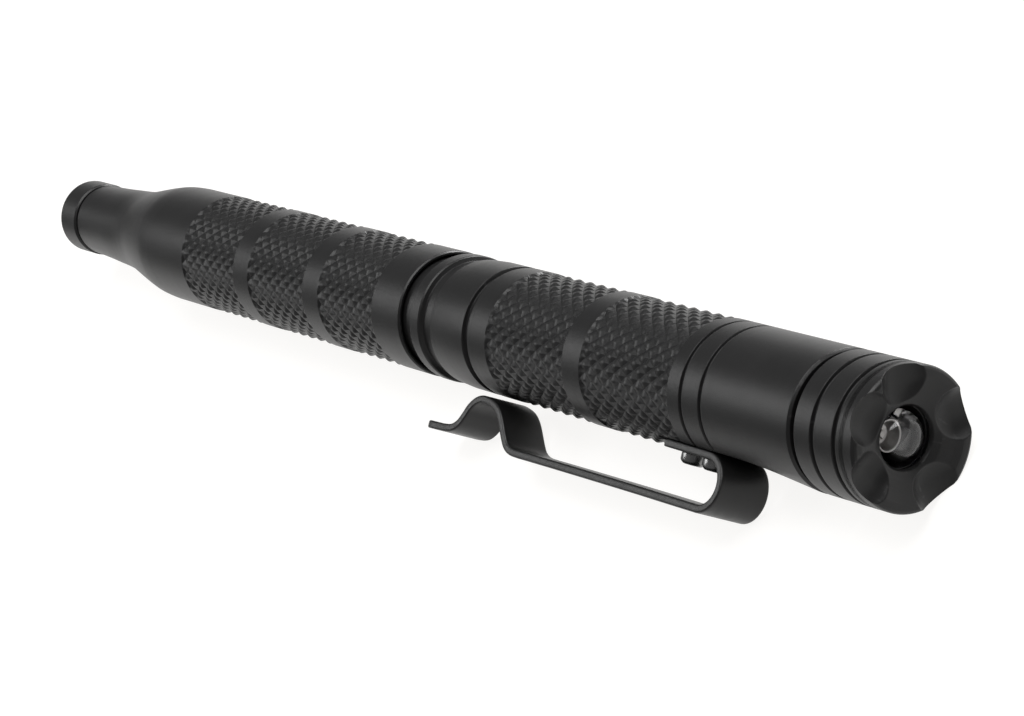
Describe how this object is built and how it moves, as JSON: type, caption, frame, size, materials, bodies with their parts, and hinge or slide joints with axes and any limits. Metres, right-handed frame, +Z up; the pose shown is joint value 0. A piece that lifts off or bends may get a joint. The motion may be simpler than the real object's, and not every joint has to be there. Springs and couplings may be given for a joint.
{
  "type": "counterfeit detector pen",
  "caption": "Black metal pen with a screw-in lamp head for checking banknotes, a spring clip, a knurled barrel, a pull-off cap and a hard strike tip.",
  "frame": {"origin": "on the pen's axis, at the centre of the strike tip's flat end face", "axes": "+X along the pen's axis from the strike tip towards the lamp; +Z up as the pen lies on a table, resting on its barrel and the edge of its clip; the clip points to -Y and a little down"},
  "size_m": [0.1735, 0.0199, 0.014],
  "materials": {
    "black_aluminium": "black anodised, turned, fine satin",
    "black_spring_steel": "black coated spring strip, satin",
    "black_screw": "black oxide, slightly worn",
    "clear_resin": "clear moulded epoxy lens",
    "lead_metal": "tin-plated lead frame",
    "black_plastic": "black moulded plastic",
    "white_plastic": "white moulded plastic",
    "green_board": "green circuit board lacquer",
    "spring_wire": "plated spring wire",
    "cell_can": "nickel-plated cell can",
    "brass": "bare brass",
    "black_rubber": "black nitrile rubber",
    "refill_steel": "plain refill tube",
    "carbide": "ground hard-metal tip"
  },
  "bodies": {
    "barrel": {"barrel": "black_aluminium", "clip_foot": "black_spring_steel", "clip_screw_1": "black_screw", "clip_screw_2": "black_screw", "battery_sleeve": "white_plastic", "battery_1": "cell_can", "battery_2": "cell_can", "battery_3": "cell_can", "ground_contact": "brass", "cap_oring": "black_rubber", "nose_section": "black_aluminium", "refill_tube": "refill_steel", "refill_tip": "brass", "refill_plug": "black_plastic", "refill_spring": "spring_wire"},
    "head_ring": {"head_oring": "black_rubber"},
    "head": {"head": "black_aluminium", "led_lens": "clear_resin", "led_anode": "lead_metal", "led_cathode": "lead_metal", "led_holder": "black_plastic", "contact_board": "green_board", "contact_spring": "spring_wire"},
    "cap": {"cap": "black_aluminium", "tip_holder": "black_aluminium", "strike_tip": "carbide"},
    "clip_arm": {"clip_arm": "black_spring_steel"}
  },
  "joints": [
    {"name": "head_advance", "type": "slide", "parent": "barrel", "child": "head_ring", "axis": [-1, 0, 0], "range_m": [0, 0.000375]},
    {"name": "head_twist", "type": "hinge", "parent": "head_ring", "child": "head", "pos_m": [0.165, 0, 0], "axis": [-1, 0, 0], "range_deg": [0, 180]},
    {"name": "cap_pull", "type": "slide", "parent": "barrel", "child": "cap", "axis": [-1, 0, 0], "range_m": [0, 0.066]},
    {"name": "clip_flex", "type": "hinge", "parent": "barrel", "child": "clip_arm", "pos_m": [0.15095, -0.0087, -0.00313], "axis": [0, -0.3387, 0.9409], "range_deg": [0, 5.5], "stiffness_Nm_per_rad": 1}
  ],
  "couplings": [
    {"joint": "head_twist", "follows": "head_advance", "rad_per_m": 8377}
  ]
}
